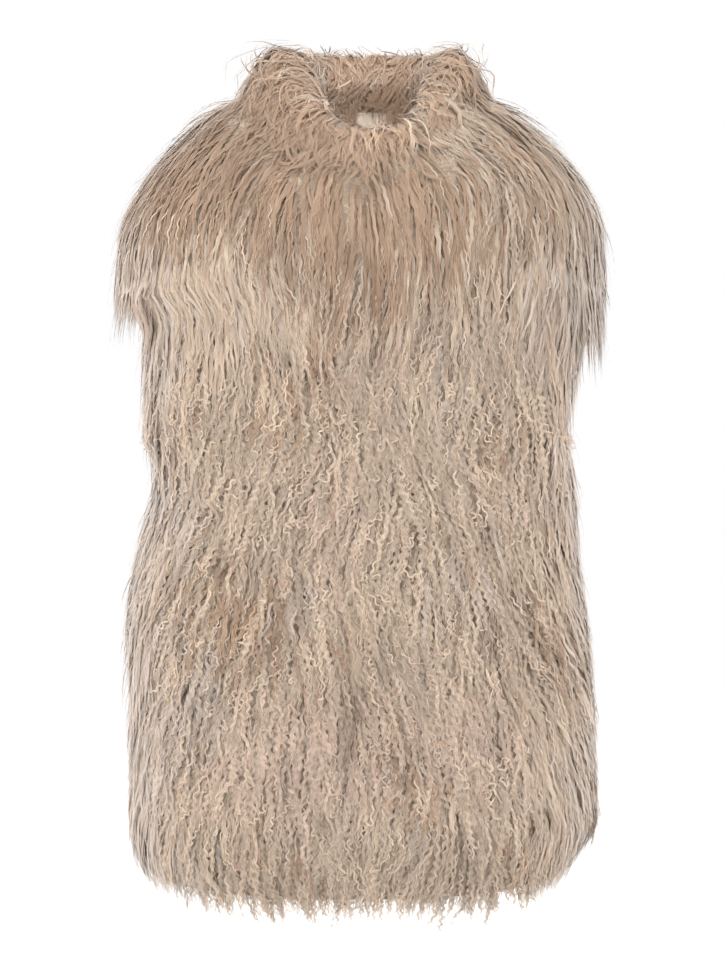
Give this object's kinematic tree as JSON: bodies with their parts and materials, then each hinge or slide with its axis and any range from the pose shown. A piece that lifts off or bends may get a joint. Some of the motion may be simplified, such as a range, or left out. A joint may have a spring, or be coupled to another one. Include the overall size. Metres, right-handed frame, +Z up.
{
  "type": "shearling vest",
  "caption": "Sleeveless long-haired shearling vest in its worn, filled-out shape, open at neck, hem and armholes, with a low stand collar and butted fronts.",
  "frame": {"origin": "middle plane of the vest at the height of the inner ends of its shoulders, where a wearer or a hanger carries it", "axes": "front faces -Y, +X is the viewer's right, +Z is up"},
  "size_m": [0.5, 0.3177, 0.861],
  "materials": {
    "shearling": "matt curly wool over tanned skin",
    "collar_wool": "matt curly wool",
    "label": "satin woven"
  },
  "bodies": {
    "root": {"front_left": "shearling", "front_right": "shearling", "back": "shearling", "collar": "collar_wool", "neck_label": "label"}
  },
  "joints": []
}
